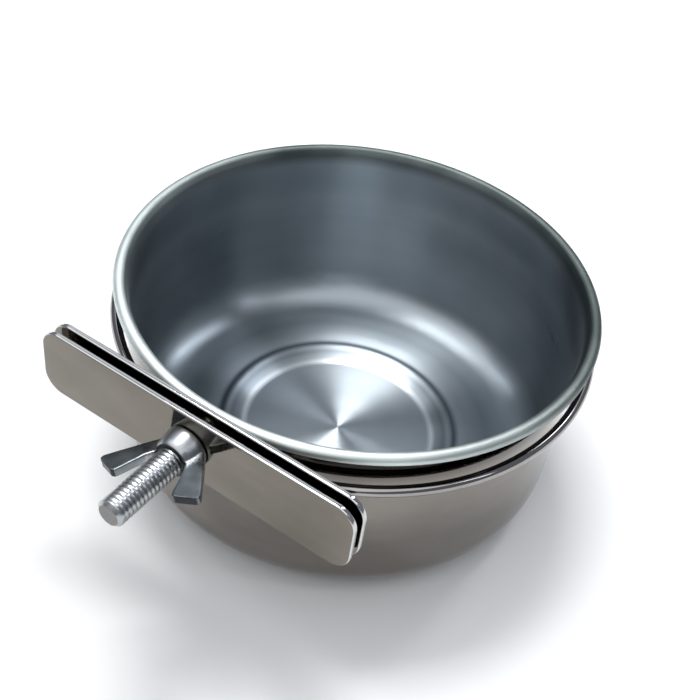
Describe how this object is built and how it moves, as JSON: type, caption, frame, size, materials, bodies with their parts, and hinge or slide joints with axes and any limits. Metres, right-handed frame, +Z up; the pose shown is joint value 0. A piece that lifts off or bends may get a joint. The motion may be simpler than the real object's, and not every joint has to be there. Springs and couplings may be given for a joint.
{
  "type": "clamp-on feeding cup",
  "caption": "Round steel feeding cup with a rolled rim, held in a wire ring that clamps to cage wire between two plates with a threaded stud and a wing nut.",
  "frame": {"origin": "centre of the cup's underside, on the surface that the cup stands on", "axes": "+Z up along the cup's axis; -Y towards the clamp, along the stud; X along the clamp plates"},
  "size_m": [0.1094, 0.1353, 0.0514],
  "materials": {
    "cup_steel": "drawn stainless sheet, satin inside and polished outside",
    "polished_steel": "mirror-polished stainless steel",
    "bright_stud": "bright rolled steel thread",
    "weld_metal": "rough weld bead",
    "cast_nut": "cast steel with a dull bright plating"
  },
  "bodies": {
    "holder": {"holder_ring": "polished_steel", "inner_clamp_plate": "polished_steel", "clamp_stud": "bright_stud", "ring_welds": "weld_metal"},
    "cup": {"cup": "cup_steel"},
    "outer_plate": {"outer_clamp_plate": "polished_steel"},
    "nut": {"wing_nut": "cast_nut"}
  },
  "joints": [
    {"name": "cup_lift", "type": "slide", "parent": "holder", "child": "cup", "axis": [0, 0, 1], "range_m": [-0.0055, 0.06]},
    {"name": "clamp_travel", "type": "slide", "parent": "holder", "child": "outer_plate", "axis": [0, -1, 0], "range_m": [-0.00161, 0.01801]},
    {"name": "wing_nut_turn", "type": "hinge", "parent": "outer_plate", "child": "nut", "pos_m": [0, -0.06, 0.0434], "axis": [0, -1, 0], "range_deg": [-576, 6480]}
  ],
  "couplings": [
    {"joint": "clamp_travel", "follows": "wing_nut_turn", "m_per_rad": 0.00015915}
  ]
}
